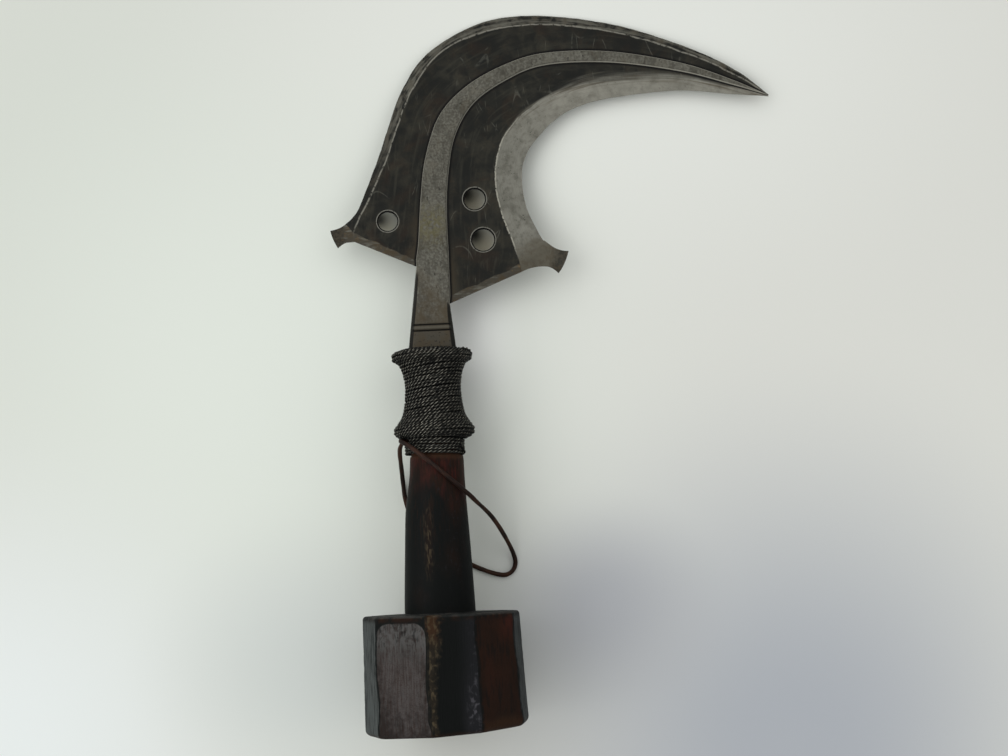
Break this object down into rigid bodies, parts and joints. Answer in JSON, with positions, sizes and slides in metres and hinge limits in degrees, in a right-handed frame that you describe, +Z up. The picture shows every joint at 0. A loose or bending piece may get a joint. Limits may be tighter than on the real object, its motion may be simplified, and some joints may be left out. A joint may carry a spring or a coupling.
{
  "type": "sickle knife",
  "caption": "Hooked sickle knife with a raised curved rib, fishtail spurs and bored wings, a wire-bound spool, a tapering wooden grip and a faceted pommel, lying at rest.",
  "frame": {"origin": "bottom centre of the knife's bounding box at rest on a table, measured without the thong", "axes": "+Z up from the table, +Y along the handle towards the blade, +X towards the blade's tip"},
  "size_m": [0.224, 0.358, 0.0815],
  "materials": {
    "iron": "forged iron, blackened plate with a brighter rib, inner bevel and edges",
    "wood": "dark carved hardwood, polished by handling, worn pale and red-brown on the pommel's facets",
    "wire": "dark twisted iron wire with brighter high points",
    "hide": "dark brown hide thong"
  },
  "bodies": {
    "root": {"blade": "iron", "handle": "wood", "binding_wire": "wire", "collar_wire": "wire", "thong": "hide"}
  },
  "joints": []
}
